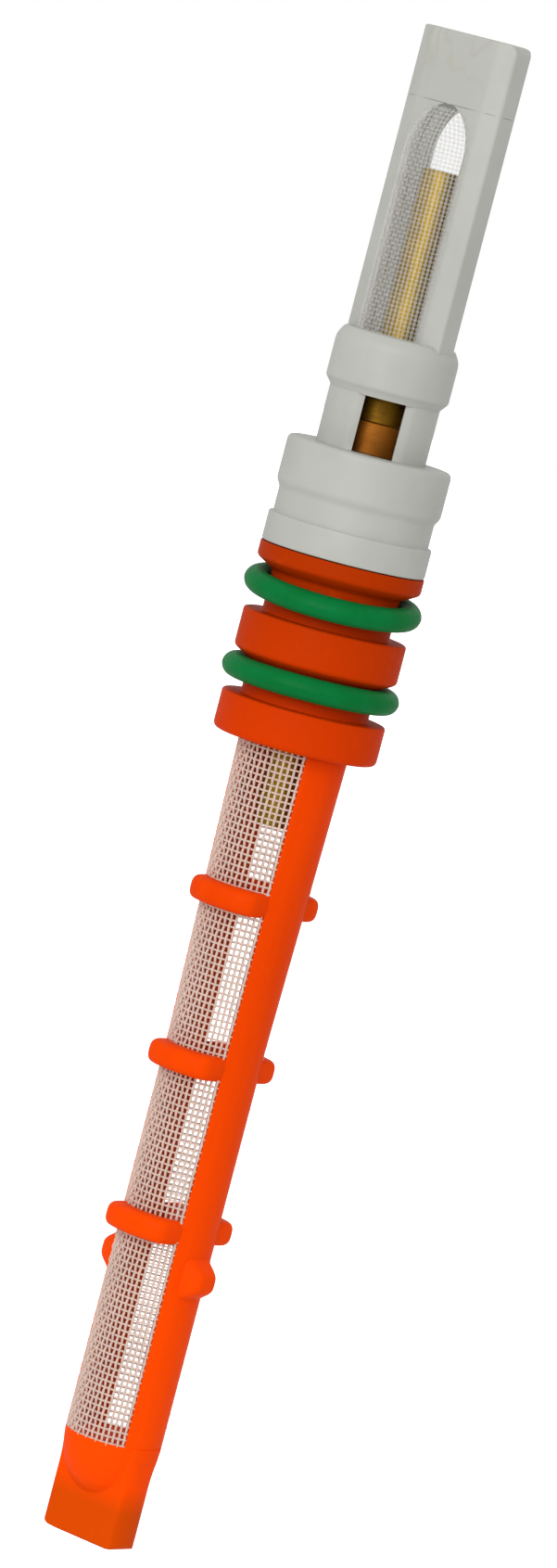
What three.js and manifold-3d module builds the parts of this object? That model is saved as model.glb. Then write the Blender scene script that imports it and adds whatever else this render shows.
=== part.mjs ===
// Variable orifice tube for a vehicle air-conditioning line: a moulded inlet cage and a moulded
// outlet cage joined end to end on one brass metering tube, with a spring-loaded bypass valve.
// Millimetres. +Z runs along the tube towards the outlet; the origin is on the axis, in the plane
// of the outlet body's shoulder face. The screened windows face -Y and +Y, the rails lie at X.
import * as THREE from 'three';
import { mergeVertices } from 'three/addons/utils/BufferGeometryUtils.js';
import Module from 'manifold-3d';

const wasm = await Module();
wasm.setup();

// ---- clearances ----
const FIT_GAP = 0.05;
const SLIDE_GAP = 0.12;
const WELD = 1e-4;
const CUT_PAST = 1;

// ---- metering tube ----
const TUBE_LENGTH = 38.1;
const TUBE_OUTER_RADIUS = 1.2;
const TUBE_BORE_RADIUS = 0.725;
const TUBE_SET_BACK = 0.6;
const TUBE_LIP = 0.15;

// ---- outlet body: shoulder, band, neck ----
const SHOULDER_RADIUS = 4.77;
const SHOULDER_HEIGHT = 2.65;
const SHOULDER_ROUND = 0.35;
const SHOULDER_CHAMFER = 0.39;
const JOINT_GROOVE_DEPTH = 0.25;
const JOINT_GROOVE_WIDTH = 1.42;
const BAND_RADIUS = 4.75;
const BAND_HEIGHT = 1.7;
const NECK_RADIUS = 3.19;
const NECK_HEIGHT = 3.46;
const NECK_RING_RADIUS = 3.56;
const NECK_RING_HEIGHT = 3.24;
const NECK_RING_CHAMFER = 0.5;
const NECK_RING_TOP_STEP = 0.37;

// ---- outlet cage: flat-sided bar with a bulging screen in each face ----
const OUTLET_BAR_TOP = 24.1;
const OUTLET_BAR_HALF_WIDTH = 3.33;
const OUTLET_BAR_EDGE_HALF_THICKNESS = 0.71;
const OUTLET_BAR_FACE_HALF_WIDTH = 2.27;
const OUTLET_BAR_FACE_HALF_THICKNESS = 1.2;
const OUTLET_BAR_LEFT_CORNER = 0.12;
const OUTLET_BAR_RIGHT_CORNER = 0.6;
const OUTLET_SCREEN_RADIUS = 2.57;
const OUTLET_BAR_CAP = 3.8;
const OUTLET_SCREEN_DOME = 3.4;
const OUTLET_SCREEN_TUCK = 0.5;

// ---- valve chamber and neck windows ----
const CHAMBER_ROOF_THICKNESS = 0.75;
const NECK_WINDOW_WIDTH = 2.35;
const NECK_WINDOW_HEAD = 0.26;
const NECK_WINDOW_AZIMUTH = 38;
const NECK_WINDOW_COUNT = 2;
const WINDOW_PANEL_WIDTH = 3.1;
const WINDOW_PANEL_HEAD = 0.06;
const WINDOW_PANEL_DEPTH = 0.45;

// ---- inlet body: collars and O-ring grooves, measured down from the outlet body ----
const COLLAR_RADIUS = 4.77;
const TOP_COLLAR_WIDTH = 0.9;
const UPPER_GROOVE_WIDTH = 2.97;
const MIDDLE_COLLAR_WIDTH = 2.26;
const MIDDLE_COLLAR_RADIUS = 4.75;
const LOWER_GROOVE_WIDTH = 2.52;
const LOWER_COLLAR_WIDTH = 2.31;
const COLLAR_CHAMFER = 0.2;
const GROOVE_TAPER = 0.6;
const LOWER_COLLAR_ROUND = 0.4;
const SPIGOT_STEP = 0.35;
const SPIGOT_LENGTH = 3.85;

// ---- O-rings ----
const O_RING_SECTION = 1.42;
const O_RING_INNER_RADIUS = 3.76;
const UPPER_O_RING_OFFSET = 1.32;
const LOWER_O_RING_OFFSET = 1.1;

// ---- inlet cage ----
const CAGE_TOP_RADIUS = 3.18;
const CAGE_WAIST_RADIUS = 2.82;
const CAGE_WAIST_DISTANCE = 17.4;
const CAGE_TIP_RADIUS = 2.82;
const CAGE_LENGTH = 40.95;
const RAIL_HALF_ANGLE = 38;
const RIB_RADIUS = 3.98;
const RIB_THICKNESS = 1.42;
const RIB_ROUND = 0.5;
const RIB_DISTANCES = [8.95, 18.6, 28.25];
const RIB_ROOT = 0.18;
const RIB_FOOT_DEPTH = 0.3;
const TANG_DISTANCE = 30.75;
const TANG_REACH = 3.72;
const TANG_CREST_LENGTH = 1.1;
const TANG_BASE_LENGTH = 2.35;
const TANG_THICKNESS = 1.5;
const TANG_BASE_THICKNESS = 2.3;

// ---- inlet tip: ogive over a flat blade ----
const OGIVE_LENGTH = 3.7;
const BLADE_HALF_THICKNESS = 1.2;
const BLADE_RADIUS = 2.74;
const BLADE_LENGTH = 6.1;
const BLADE_LEFT_CORNER = 0.9;
const BLADE_RIGHT_CORNER = 0.5;
const TIP_BAND_STEP = 0.06;
const TIP_BAND_HEIGHT = 0.8;

// ---- screens ----
const SCREEN_THICKNESS = 0.28;
const SCREEN_SET_BACK = 0.03;
const LEDGE_WIDTH = 0.3;
const LEDGE_ANGLE = 1.5;
const SCREEN_TUCK = 0.5;

// ---- bypass valve ----
const BYPASS_HOLE_RADIUS = 0.38;
const BYPASS_WALL = 0.19;
const BYPASS_HOLE_COUNT = 4;
const BYPASS_FIRST_ANGLE = 45;
const SEAT_RIM = 0.27;
const SEAT_THICKNESS = 1.4;
const GALLERY_DEPTH = 0.4;
const GALLERY_WALL = 0.25;
const PORT_RADIUS = 0.24;
const PORT_WALL = 0.21;
const PORT_COUNT = 6;
const SEAL_THICKNESS = 0.4;
const SEAL_LAP = 0.04;
const PISTON_HEAD_HEIGHT = 2.21;
const STEM_WALL = 0.41;
const SPRING_SPACE = 2.35;
const SPRING_WIRE_RADIUS = 0.14;
const SPRING_CLEARANCE = 0.16;
const SPRING_END_GAP = 0.08;
const SPRING_TURNS = 4;
const FERRULE_WALL = 0.43;
const FERRULE_LENGTH = 1.6;

// ---- smoothness ----
const ROUND_STEPS = 48;
const SMALL_ROUND_STEPS = 20;
const CORNER_STEPS = 4;
const RING_STEPS = 16;

// ---- radii of the valve, built outwards from the tube ----
const tubeHole = TUBE_OUTER_RADIUS + FIT_GAP;
const springRadius = TUBE_OUTER_RADIUS + SPRING_CLEARANCE + SPRING_WIRE_RADIUS;
const portPitch = tubeHole + PORT_WALL + PORT_RADIUS;
const pistonRadius = portPitch + PORT_RADIUS + SEAL_LAP;
const chamberRadius = pistonRadius + SLIDE_GAP;
const ferruleRadius = tubeHole + FERRULE_WALL;
const bypassPitch = ferruleRadius + FIT_GAP + BYPASS_WALL + BYPASS_HOLE_RADIUS;
const seatRadius = bypassPitch + BYPASS_HOLE_RADIUS + SEAT_RIM;
const spigotRadius = seatRadius + SPIGOT_STEP;

// ---- heights that follow from the sizes above ----
const bandTop = -SHOULDER_HEIGHT - SHOULDER_CHAMFER - JOINT_GROOVE_WIDTH;
const bandBottom = bandTop - BAND_HEIGHT;
const grooveRadius = SHOULDER_RADIUS - JOINT_GROOVE_DEPTH;
const ringTop = NECK_HEIGHT + NECK_RING_HEIGHT;
const chamberRoof = ringTop - CHAMBER_ROOF_THICKNESS;
const outletScreenTop = OUTLET_BAR_TOP - OUTLET_BAR_CAP;
const outletScreenShoulder = outletScreenTop - OUTLET_SCREEN_DOME;
const inletTop = bandBottom - FIT_GAP;
const upperGrooveTop = inletTop - TOP_COLLAR_WIDTH;
const upperGrooveBottom = upperGrooveTop - UPPER_GROOVE_WIDTH;
const lowerGrooveTop = upperGrooveBottom - MIDDLE_COLLAR_WIDTH;
const lowerGrooveBottom = lowerGrooveTop - LOWER_GROOVE_WIDTH;
const cageTop = lowerGrooveBottom - LOWER_COLLAR_WIDTH;
const cageWaist = cageTop - CAGE_WAIST_DISTANCE;
const cageBottom = cageTop - CAGE_LENGTH;
const bladeBottom = cageBottom - BLADE_LENGTH;
const ringGrooveRadius = O_RING_INNER_RADIUS - FIT_GAP;
const spigotTop = inletTop + SPIGOT_LENGTH;
const seatBottom = spigotTop + FIT_GAP;
const seatTop = seatBottom + SEAT_THICKNESS;
const sealBottom = seatTop + FIT_GAP;
const pistonBottom = sealBottom + SEAL_THICKNESS + FIT_GAP;
const pistonShoulder = pistonBottom + PISTON_HEAD_HEIGHT;
const pistonTop = chamberRoof - SPRING_SPACE;
const springEndPitch = 2 * SPRING_WIRE_RADIUS + SPRING_END_GAP;
const screenInset = SCREEN_SET_BACK + SCREEN_THICKNESS + FIT_GAP;
const windowHalfAngle = 90 - RAIL_HALF_ANGLE;

const radians = THREE.MathUtils.degToRad;

// ---- solids ----
function toSolid(geometry) {
  const bare = geometry.clone();
  bare.deleteAttribute('normal');
  bare.deleteAttribute('uv');
  const welded = mergeVertices(bare, WELD);
  const corners = Array.from(welded.index.array);
  const kept = [];
  for (let i = 0; i < corners.length; i += 3) {
    const [a, b, c] = corners.slice(i, i + 3);
    if (a !== b && b !== c && c !== a) {
      kept.push(a, b, c);
    }
  }
  const triVerts = new Uint32Array(kept);
  const vertProperties = new Float32Array(welded.attributes.position.array);
  if (signedVolume(vertProperties, triVerts) < 0) {
    for (let i = 0; i < triVerts.length; i += 3) {
      [triVerts[i + 1], triVerts[i + 2]] = [triVerts[i + 2], triVerts[i + 1]];
    }
  }
  return new wasm.Manifold(new wasm.Mesh({ numProp: 3, vertProperties, triVerts }));
}

function signedVolume(points, faces) {
  const corner = [new THREE.Vector3(), new THREE.Vector3(), new THREE.Vector3()];
  let volume = 0;
  for (let i = 0; i < faces.length; i += 3) {
    for (let k = 0; k < 3; k += 1) {
      corner[k].fromArray(points, faces[i + k] * 3);
    }
    volume += corner[0].dot(corner[1].cross(corner[2])) / 6;
  }
  return volume;
}

function toMesh(solid, name, material) {
  const body = solid.getMesh();
  const geometry = new THREE.BufferGeometry();
  const positions = new Float32Array(body.vertProperties);
  geometry.setAttribute('position', new THREE.BufferAttribute(positions, 3));
  geometry.setIndex(new THREE.BufferAttribute(new Uint32Array(body.triVerts), 1));
  geometry.computeVertexNormals();
  const mesh = new THREE.Mesh(geometry, material);
  mesh.name = name;
  return mesh;
}

// A solid of revolution about Z from [radius, height] pairs.
function revolve(profile, steps = ROUND_STEPS) {
  const points = profile.map(([radius, height]) => new THREE.Vector2(radius, height));
  const geometry = new THREE.LatheGeometry(points, steps);
  geometry.rotateX(Math.PI / 2);
  return toSolid(geometry);
}

function cylinder(radius, low, high, steps = SMALL_ROUND_STEPS) {
  return revolve([[0, low], [radius, low], [radius, high], [0, high]], steps);
}

// A washer-shaped solid whose walls follow two functions of height.
function shell(inner, outer, heights, steps = ROUND_STEPS) {
  const up = heights.map((height) => [outer(height), height]);
  const down = [...heights].reverse().map((height) => [inner(height), height]);
  return revolve([...up, ...down, up[0]], steps);
}

function prism(outline, low, high) {
  const shape = new THREE.Shape(outline.map(([x, y]) => new THREE.Vector2(x, y)));
  const geometry = new THREE.ExtrudeGeometry(shape, { depth: high - low, bevelEnabled: false });
  geometry.translate(0, 0, low);
  return toSolid(geometry);
}

// A plate with its outline in the XZ plane, centred on Y.
function plateAcrossY(outline, thickness) {
  const shape = new THREE.Shape(outline.map(([x, z]) => new THREE.Vector2(x, z)));
  const geometry = new THREE.ExtrudeGeometry(shape, { depth: thickness, bevelEnabled: false });
  geometry.translate(0, 0, -thickness / 2);
  geometry.rotateX(Math.PI / 2);
  return toSolid(geometry);
}

function box(width, depth, low, high) {
  const geometry = new THREE.BoxGeometry(width, depth, high - low);
  geometry.translate(0, 0, (low + high) / 2);
  return toSolid(geometry);
}

// A wedge about the axis, centred on the given azimuth from +X, both angles in degrees.
function wedge(azimuth, halfAngle, reach, low, high) {
  const outline = [[0, 0]];
  for (let step = 0; step <= CORNER_STEPS; step += 1) {
    const angle = radians(azimuth - halfAngle + (2 * halfAngle * step) / CORNER_STEPS);
    outline.push([reach * Math.cos(angle), reach * Math.sin(angle)]);
  }
  return prism(outline, low, high);
}

// Points on a quarter round from one angle to another about a centre, in degrees.
function arc(centre, radius, from, to, rise = radius) {
  const points = [];
  for (let step = 0; step <= CORNER_STEPS; step += 1) {
    const angle = radians(from + ((to - from) * step) / CORNER_STEPS);
    points.push([centre[0] + radius * Math.cos(angle), centre[1] + rise * Math.sin(angle)]);
  }
  return points;
}

function ringOfHoles(count, pitchRadius, radius, low, high, first = 0) {
  let holes = null;
  for (let index = 0; index < count; index += 1) {
    const angle = radians(first + (360 * index) / count);
    const place = [pitchRadius * Math.cos(angle), pitchRadius * Math.sin(angle), 0];
    const hole = cylinder(radius, low, high, SMALL_ROUND_STEPS).translate(place);
    holes = holes ? holes.add(hole) : hole;
  }
  return holes;
}

// ---- walls of the two cages, as functions of height ----
function cageRadius(height) {
  if (height >= cageTop) {
    return CAGE_TOP_RADIUS;
  }
  if (height >= cageWaist) {
    const share = (cageTop - height) / CAGE_WAIST_DISTANCE;
    return THREE.MathUtils.lerp(CAGE_TOP_RADIUS, CAGE_WAIST_RADIUS, share);
  }
  const share = Math.min((cageWaist - height) / (cageWaist - cageBottom), 1);
  return THREE.MathUtils.lerp(CAGE_WAIST_RADIUS, CAGE_TIP_RADIUS, share);
}

function outletScreenRadius(height) {
  if (height <= outletScreenShoulder) {
    return OUTLET_SCREEN_RADIUS;
  }
  const share = (height - outletScreenShoulder) / (outletScreenTop - outletScreenShoulder);
  const floor = OUTLET_BAR_FACE_HALF_THICKNESS / 2;
  const reach = OUTLET_SCREEN_RADIUS - floor;
  return floor + reach * Math.sqrt(Math.max(1 - share * share, 0));
}

function heightsOfOutletScreen(low) {
  const heights = [low];
  const steps = 2 * CORNER_STEPS;
  for (let step = 0; step <= steps; step += 1) {
    const angle = (Math.PI / 2) * (step / steps);
    const rise = (outletScreenTop - outletScreenShoulder) * Math.sin(angle);
    heights.push(outletScreenShoulder + rise);
  }
  return heights;
}

// ---- inlet body ----
function collarProfile() {
  return [
    [CAGE_TOP_RADIUS, cageTop],
    ...arc([COLLAR_RADIUS - LOWER_COLLAR_ROUND, cageTop + LOWER_COLLAR_ROUND],
      LOWER_COLLAR_ROUND, -90, 0),
    ...arc([COLLAR_RADIUS - COLLAR_CHAMFER, lowerGrooveBottom - COLLAR_CHAMFER],
      COLLAR_CHAMFER, 0, 90),
    [ringGrooveRadius, lowerGrooveBottom],
    [ringGrooveRadius, lowerGrooveTop - GROOVE_TAPER],
    [MIDDLE_COLLAR_RADIUS - COLLAR_CHAMFER, lowerGrooveTop],
    [MIDDLE_COLLAR_RADIUS, lowerGrooveTop + COLLAR_CHAMFER],
    [MIDDLE_COLLAR_RADIUS, upperGrooveBottom - COLLAR_CHAMFER],
    [MIDDLE_COLLAR_RADIUS - COLLAR_CHAMFER, upperGrooveBottom],
    [ringGrooveRadius, upperGrooveBottom],
    [ringGrooveRadius, upperGrooveTop - GROOVE_TAPER],
    [COLLAR_RADIUS - COLLAR_CHAMFER, upperGrooveTop],
    [COLLAR_RADIUS, upperGrooveTop + COLLAR_CHAMFER],
    [COLLAR_RADIUS, inletTop],
    [spigotRadius, inletTop],
    [spigotRadius, spigotTop - COLLAR_CHAMFER],
    [spigotRadius - COLLAR_CHAMFER, spigotTop],
    [0, spigotTop],
  ];
}

function ogiveProfile() {
  const points = [];
  const steps = 2 * CORNER_STEPS;
  for (let step = 0; step < steps; step += 1) {
    const angle = (Math.PI / 2) * (step / steps);
    const radius = CAGE_TIP_RADIUS * Math.sin(angle);
    points.push([radius, cageBottom - OGIVE_LENGTH * Math.cos(angle)]);
  }
  return points;
}

function blade() {
  const outline = [
    ...arc([-BLADE_RADIUS + BLADE_LEFT_CORNER, bladeBottom + BLADE_LEFT_CORNER],
      BLADE_LEFT_CORNER, 180, 270),
    ...arc([BLADE_RADIUS - BLADE_RIGHT_CORNER, bladeBottom + BLADE_RIGHT_CORNER],
      BLADE_RIGHT_CORNER, 270, 360),
    [BLADE_RADIUS, cageBottom],
    [-BLADE_RADIUS, cageBottom],
  ];
  const slab = plateAcrossY(outline, 2 * BLADE_HALF_THICKNESS);
  return slab.intersect(cylinder(BLADE_RADIUS, bladeBottom - CUT_PAST, cageBottom, ROUND_STEPS));
}

// A rib arched over both windows. Its feet are let into the rails and it clears the cloth.
function rib(distance) {
  const middle = cageTop - distance;
  const half = RIB_THICKNESS / 2;
  const inner = cageRadius(middle) - RIB_FOOT_DEPTH;
  const centre = RIB_RADIUS - RIB_ROUND;
  const overCloth = (height) => cageRadius(height) - SCREEN_SET_BACK + FIT_GAP;
  const profile = [
    [inner, middle - half],
    ...arc([centre, middle - half + RIB_ROUND], RIB_ROUND, -90, 0),
    ...arc([centre, middle + half - RIB_ROUND], RIB_ROUND, 0, 90),
    [inner, middle + half],
    [inner, middle - half],
  ];
  const flat = (overCloth(middle) + RIB_ROOT) * Math.sin(radians(windowHalfAngle));
  const low = middle - RIB_THICKNESS;
  const high = middle + RIB_THICKNESS;
  const slab = box(2 * flat, 3 * RIB_RADIUS, low, high);
  const cleared = shell((height) => overCloth(height) - 2 * RIB_FOOT_DEPTH, overCloth, [low, high]);
  let arch = revolve(profile).intersect(slab);
  for (const azimuth of [-90, 90]) {
    const window = wedge(azimuth, windowHalfAngle, 2 * RIB_RADIUS, low, high);
    arch = arch.subtract(cleared.intersect(window));
  }
  return arch;
}

// A ramped ear standing out of each rail, for a pulling tool to hold.
function tangs() {
  const middle = cageTop - TANG_DISTANCE;
  const root = CAGE_WAIST_RADIUS / 2;
  const foot = cageRadius(middle) - SCREEN_SET_BACK;
  const outline = [
    [-TANG_REACH, middle - TANG_CREST_LENGTH / 2],
    [-foot, middle - TANG_BASE_LENGTH / 2],
    [-root, middle - TANG_BASE_LENGTH / 2],
    [-root, middle + TANG_BASE_LENGTH / 2],
    [-foot, middle + TANG_BASE_LENGTH / 2],
    [-TANG_REACH, middle + TANG_CREST_LENGTH / 2],
  ];
  const left = plateAcrossY(outline, TANG_BASE_THICKNESS);
  const both = left.add(left.mirror([1, 0, 0]));
  const taper = [
    [TANG_REACH, TANG_THICKNESS / 2],
    [root, TANG_BASE_THICKNESS / 2],
    [-root, TANG_BASE_THICKNESS / 2],
    [-TANG_REACH, TANG_THICKNESS / 2],
    [-TANG_REACH, -TANG_THICKNESS / 2],
    [-root, -TANG_BASE_THICKNESS / 2],
    [root, -TANG_BASE_THICKNESS / 2],
    [TANG_REACH, -TANG_THICKNESS / 2],
  ];
  return both.intersect(prism(taper, middle - TANG_BASE_LENGTH, middle + TANG_BASE_LENGTH));
}

function inletBore() {
  const wall = (height) => cageRadius(height) - screenInset - LEDGE_WIDTH;
  return revolve([
    [0, cageBottom],
    [wall(cageBottom), cageBottom],
    [wall(cageWaist), cageWaist],
    [wall(cageTop), cageTop],
    [0, cageTop],
  ]);
}

function inletWindows() {
  const reach = 2 * CAGE_TOP_RADIUS;
  const ledge = (height) => cageRadius(height) - screenInset;
  const clear = shell(ledge, () => reach, [cageBottom - SCREEN_TUCK, cageWaist, cageTop]);
  const pocket = shell(ledge, () => CAGE_TOP_RADIUS - SCREEN_SET_BACK + FIT_GAP,
    [cageTop - SCREEN_TUCK, cageTop + SCREEN_TUCK + FIT_GAP]);
  let cut = null;
  for (const azimuth of [-90, 90]) {
    const outer = wedge(azimuth, windowHalfAngle, 2 * reach, cageBottom - 2, cageTop + 2);
    const inner = wedge(azimuth, windowHalfAngle - LEDGE_ANGLE, reach, cageBottom, cageTop);
    const opening = clear.add(pocket).intersect(outer).add(inner);
    cut = cut ? cut.add(opening) : opening;
  }
  return cut;
}

function inletBody() {
  let solid = revolve([
    ...ogiveProfile(),
    [CAGE_TIP_RADIUS, cageBottom],
    [CAGE_WAIST_RADIUS, cageWaist],
    ...collarProfile(),
  ]);
  const band = cylinder(CAGE_TIP_RADIUS + TIP_BAND_STEP, cageBottom - TIP_BAND_HEIGHT, cageBottom,
    ROUND_STEPS);
  const bandSlab = box(4 * CAGE_TIP_RADIUS, 2 * BLADE_HALF_THICKNESS,
    cageBottom - TIP_BAND_HEIGHT, cageBottom);
  solid = solid.add(blade()).add(tangs()).add(band.intersect(bandSlab));
  solid = solid.subtract(inletBore()).subtract(inletWindows());
  for (const distance of RIB_DISTANCES) {
    solid = solid.add(rib(distance));
  }
  const bypass = ringOfHoles(BYPASS_HOLE_COUNT, bypassPitch, BYPASS_HOLE_RADIUS,
    cageTop - CUT_PAST, spigotTop + CUT_PAST, BYPASS_FIRST_ANGLE);
  const counterbore = cylinder(ferruleRadius + FIT_GAP, spigotTop - FERRULE_LENGTH - FIT_GAP,
    spigotTop + CUT_PAST);
  const guide = cylinder(tubeHole, cageTop - CUT_PAST, spigotTop + CUT_PAST);
  return solid.subtract(bypass).subtract(counterbore).subtract(guide);
}

// ---- outlet body ----
function outletTurning() {
  const centre = SHOULDER_RADIUS - SHOULDER_ROUND;
  const ringEdge = NECK_RING_RADIUS - NECK_RING_TOP_STEP;
  return revolve([
    [0, bandBottom],
    [BAND_RADIUS, bandBottom],
    [BAND_RADIUS, bandTop - SHOULDER_CHAMFER / 4],
    [BAND_RADIUS - SHOULDER_CHAMFER / 4, bandTop],
    [grooveRadius, bandTop],
    [grooveRadius, bandTop + JOINT_GROOVE_WIDTH],
    [SHOULDER_RADIUS, -SHOULDER_HEIGHT],
    ...arc([centre, -SHOULDER_ROUND], SHOULDER_ROUND, 0, 90),
    [NECK_RADIUS, 0],
    [NECK_RADIUS, NECK_HEIGHT - NECK_RING_CHAMFER / 2],
    [NECK_RING_RADIUS, NECK_HEIGHT + NECK_RING_CHAMFER / 2],
    [NECK_RING_RADIUS, ringTop - NECK_RING_CHAMFER],
    [ringEdge, ringTop],
    [0, ringTop],
  ]);
}

function outletBar() {
  const faceX = OUTLET_BAR_FACE_HALF_WIDTH;
  const faceY = OUTLET_BAR_FACE_HALF_THICKNESS;
  const edgeX = OUTLET_BAR_HALF_WIDTH;
  const edgeY = OUTLET_BAR_EDGE_HALF_THICKNESS;
  const section = [
    [faceX, -faceY], [edgeX, -edgeY], [edgeX, edgeY], [faceX, faceY],
    [-faceX, faceY], [-edgeX, edgeY], [-edgeX, -edgeY], [-faceX, -faceY],
  ];
  const low = NECK_HEIGHT + NECK_RING_HEIGHT / 2;
  const left = OUTLET_BAR_LEFT_CORNER;
  const right = OUTLET_BAR_RIGHT_CORNER;
  const outline = [
    [-edgeX, low],
    [edgeX, low],
    ...arc([edgeX - right, OUTLET_BAR_TOP - right], right, 0, 90),
    ...arc([-edgeX + left, OUTLET_BAR_TOP - left], left, 90, 180),
  ];
  const bar = prism(section, low, OUTLET_BAR_TOP);
  return bar.intersect(plateAcrossY(outline, 4 * faceY));
}

function outletCavity() {
  const inset = SCREEN_THICKNESS + FIT_GAP;
  const heights = heightsOfOutletScreen(ringTop);
  const bore = revolve([
    [0, ringTop],
    ...heights.map((height) => [
      Math.max(outletScreenRadius(height) - inset - LEDGE_WIDTH, 0), height]),
  ].filter(([radius], index) => index === 0 || radius > 0).concat([[0, outletScreenTop]]));
  const floor = ringTop - OUTLET_SCREEN_TUCK - FIT_GAP;
  const slot = shell((height) => outletScreenRadius(height) - inset,
    (height) => outletScreenRadius(height) + FIT_GAP, heightsOfOutletScreen(floor));
  const middle = OUTLET_BAR_EDGE_HALF_THICKNESS;
  const keep = box(4 * SHOULDER_RADIUS, 2 * middle, floor - CUT_PAST, outletScreenTop + CUT_PAST);
  return bore.add(slot.subtract(keep));
}

function neckWindows() {
  let cut = null;
  const depth = SHOULDER_RADIUS;
  for (let index = 0; index < NECK_WINDOW_COUNT; index += 1) {
    const turn = NECK_WINDOW_AZIMUTH - 90 + (360 * index) / NECK_WINDOW_COUNT;
    const hole = box(depth, NECK_WINDOW_WIDTH, 0, NECK_HEIGHT - NECK_WINDOW_HEAD)
      .translate([depth / 2, 0, 0]);
    const panel = box(depth, WINDOW_PANEL_WIDTH, 0, NECK_HEIGHT - WINDOW_PANEL_HEAD)
      .translate([NECK_RADIUS - WINDOW_PANEL_DEPTH + depth / 2, 0, 0]);
    const both = hole.add(panel).rotate([0, 0, turn]);
    cut = cut ? cut.add(both) : both;
  }
  return cut;
}

function outletBody() {
  const socket = cylinder(spigotRadius + FIT_GAP, bandBottom - CUT_PAST, seatBottom, ROUND_STEPS);
  const seatRecess = cylinder(seatRadius + FIT_GAP, seatBottom - CUT_PAST, seatTop + FIT_GAP,
    ROUND_STEPS);
  const chamber = cylinder(chamberRadius, seatTop - CUT_PAST, chamberRoof, ROUND_STEPS);
  const guide = cylinder(tubeHole, 0, ringTop + CUT_PAST);
  return outletTurning()
    .add(outletBar())
    .subtract(outletCavity())
    .subtract(socket)
    .subtract(seatRecess)
    .subtract(chamber)
    .subtract(guide)
    .subtract(neckWindows());
}

// ---- screens: one curved strip of woven cloth to each window ----
function inletScreen(azimuth) {
  const low = cageBottom - SCREEN_TUCK + FIT_GAP;
  const high = cageTop + SCREEN_TUCK;
  const outer = (height) => cageRadius(height) - SCREEN_SET_BACK;
  const inner = (height) => outer(height) - SCREEN_THICKNESS;
  const cloth = shell(inner, outer, [low, cageBottom, cageWaist, cageTop, high]);
  const edge = THREE.MathUtils.radToDeg(FIT_GAP / CAGE_TIP_RADIUS);
  const reach = 3 * CAGE_TOP_RADIUS;
  return cloth.intersect(wedge(azimuth, windowHalfAngle - edge, reach, low, high));
}

function outletScreen(side) {
  const low = ringTop - OUTLET_SCREEN_TUCK;
  const cloth = shell((height) => outletScreenRadius(height) - SCREEN_THICKNESS,
    outletScreenRadius, heightsOfOutletScreen(low));
  const foot = OUTLET_BAR_EDGE_HALF_THICKNESS + FIT_GAP;
  const reach = 2 * OUTLET_SCREEN_RADIUS;
  const top = outletScreenTop - 2 * SCREEN_THICKNESS;
  const half = box(2 * reach, reach, low, top).translate([0, side * (foot + reach / 2), 0]);
  return cloth.intersect(half);
}

// ---- O-rings, tube and valve ----
function oRing(height) {
  const radius = O_RING_SECTION / 2;
  const points = [];
  for (let step = 0; step <= RING_STEPS; step += 1) {
    const angle = (2 * Math.PI * step) / RING_STEPS;
    points.push([
      O_RING_INNER_RADIUS + radius + radius * Math.cos(angle),
      height + radius * Math.sin(angle),
    ]);
  }
  return revolve(points);
}

function meteringTube() {
  const high = outletScreenShoulder - TUBE_SET_BACK;
  const low = high - TUBE_LENGTH;
  return revolve([
    [TUBE_BORE_RADIUS, low + TUBE_LIP],
    [TUBE_BORE_RADIUS + TUBE_LIP, low],
    [TUBE_OUTER_RADIUS, low],
    [TUBE_OUTER_RADIUS, high],
    [TUBE_BORE_RADIUS + TUBE_LIP, high],
    [TUBE_BORE_RADIUS, high - TUBE_LIP],
    [TUBE_BORE_RADIUS, low + TUBE_LIP],
  ], 2 * SMALL_ROUND_STEPS);
}

function sleeve(radius, low, high, steps = 2 * SMALL_ROUND_STEPS) {
  return cylinder(radius, low, high, steps).subtract(cylinder(tubeHole, low - CUT_PAST, high + CUT_PAST));
}

function valveSeat() {
  const gallery = shell(() => tubeHole + GALLERY_WALL,
    () => bypassPitch + BYPASS_HOLE_RADIUS,
    [seatBottom - CUT_PAST, seatBottom + GALLERY_DEPTH]);
  const ports = ringOfHoles(PORT_COUNT, portPitch, PORT_RADIUS, seatBottom, seatTop + CUT_PAST);
  return sleeve(seatRadius, seatBottom, seatTop).subtract(gallery).subtract(ports);
}

function valvePiston() {
  const head = sleeve(pistonRadius, pistonBottom, pistonShoulder);
  return head.add(sleeve(tubeHole + STEM_WALL, pistonShoulder - FIT_GAP, pistonTop));
}

class SpringPath extends THREE.Curve {
  getPoint(share, target = new THREE.Vector3()) {
    const low = pistonTop + FIT_GAP + SPRING_WIRE_RADIUS;
    const high = chamberRoof - FIT_GAP - SPRING_WIRE_RADIUS;
    const turn = share * SPRING_TURNS;
    const working = high - low - 2 * springEndPitch;
    const middle = (working * (turn - 1)) / (SPRING_TURNS - 2);
    const risen = THREE.MathUtils.clamp(middle, 0, working);
    const ends = Math.min(turn, 1) + Math.max(turn - SPRING_TURNS + 1, 0);
    const angle = 2 * Math.PI * turn;
    return target.set(
      springRadius * Math.cos(angle),
      springRadius * Math.sin(angle),
      low + risen + springEndPitch * ends,
    );
  }
}

function valveSpring() {
  const wire = new THREE.Shape();
  wire.absarc(0, 0, SPRING_WIRE_RADIUS, 0, 2 * Math.PI, false);
  return toSolid(new THREE.ExtrudeGeometry(wire, {
    steps: SPRING_TURNS * SMALL_ROUND_STEPS,
    curveSegments: CORNER_STEPS,
    extrudePath: new SpringPath(),
    bevelEnabled: false,
  }));
}

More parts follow.
